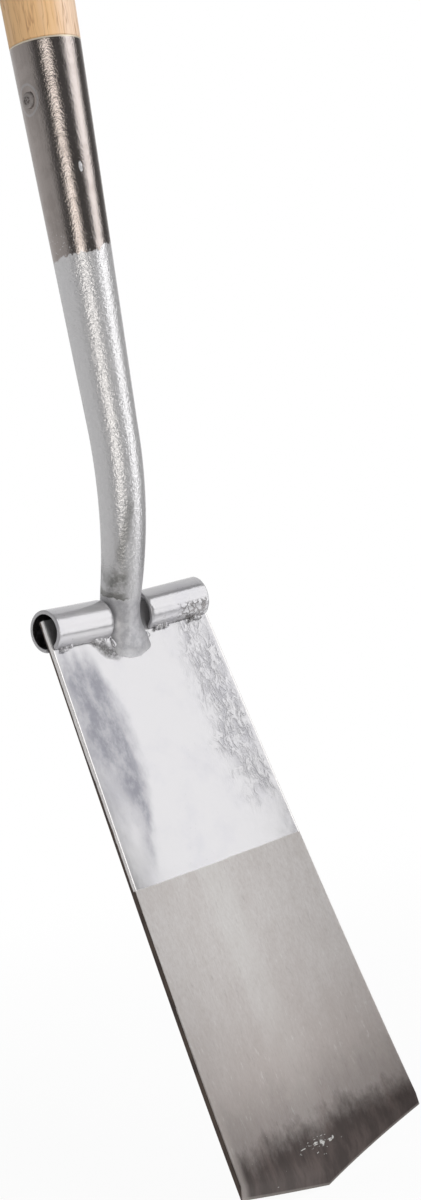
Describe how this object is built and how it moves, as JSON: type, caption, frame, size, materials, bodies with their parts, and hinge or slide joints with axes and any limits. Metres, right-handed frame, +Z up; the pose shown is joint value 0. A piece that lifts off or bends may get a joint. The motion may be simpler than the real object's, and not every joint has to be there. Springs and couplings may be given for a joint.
{
  "type": "trenching spade",
  "caption": "Long-handled trenching spade: dished steel blade with a shallow point, tubular foot treads, swan-neck socket and a wooden T-handle.",
  "frame": {"origin": "on the shaft axis, at the lower end of the plain round stretch of the shaft that a tool clip grips, 40 mm above the socket mouth", "axes": "+Z up along the shaft towards the grip, +X across the blade to the right as its hollow face is seen, +Y towards the blade's round back"},
  "size_m": [0.134, 0.1095, 1.1718],
  "materials": {
    "ground_steel": "silver lacquer on the upper half, lengthwise brushed steel with a dark heat stain towards the edge",
    "silver_paint": "thin glossy silver lacquer over steel",
    "dark_steel": "dark oiled steel",
    "ash": "pale ash, fine sanded",
    "hardwood": "darker hardwood"
  },
  "bodies": {
    "root": {"blade": "ground_steel", "tread_left": "silver_paint", "tread_right": "silver_paint", "neck_socket": "silver_paint", "handle_shaft": "ash", "socket_rivet": "dark_steel", "grip_crosspiece": "ash", "grip_wedge": "hardwood", "weld_tread_left_front": "silver_paint", "weld_tread_left_back": "silver_paint", "weld_tread_right_front": "silver_paint", "weld_tread_right_back": "silver_paint", "weld_foot_front": "silver_paint", "weld_foot_back": "silver_paint"}
  },
  "joints": []
}
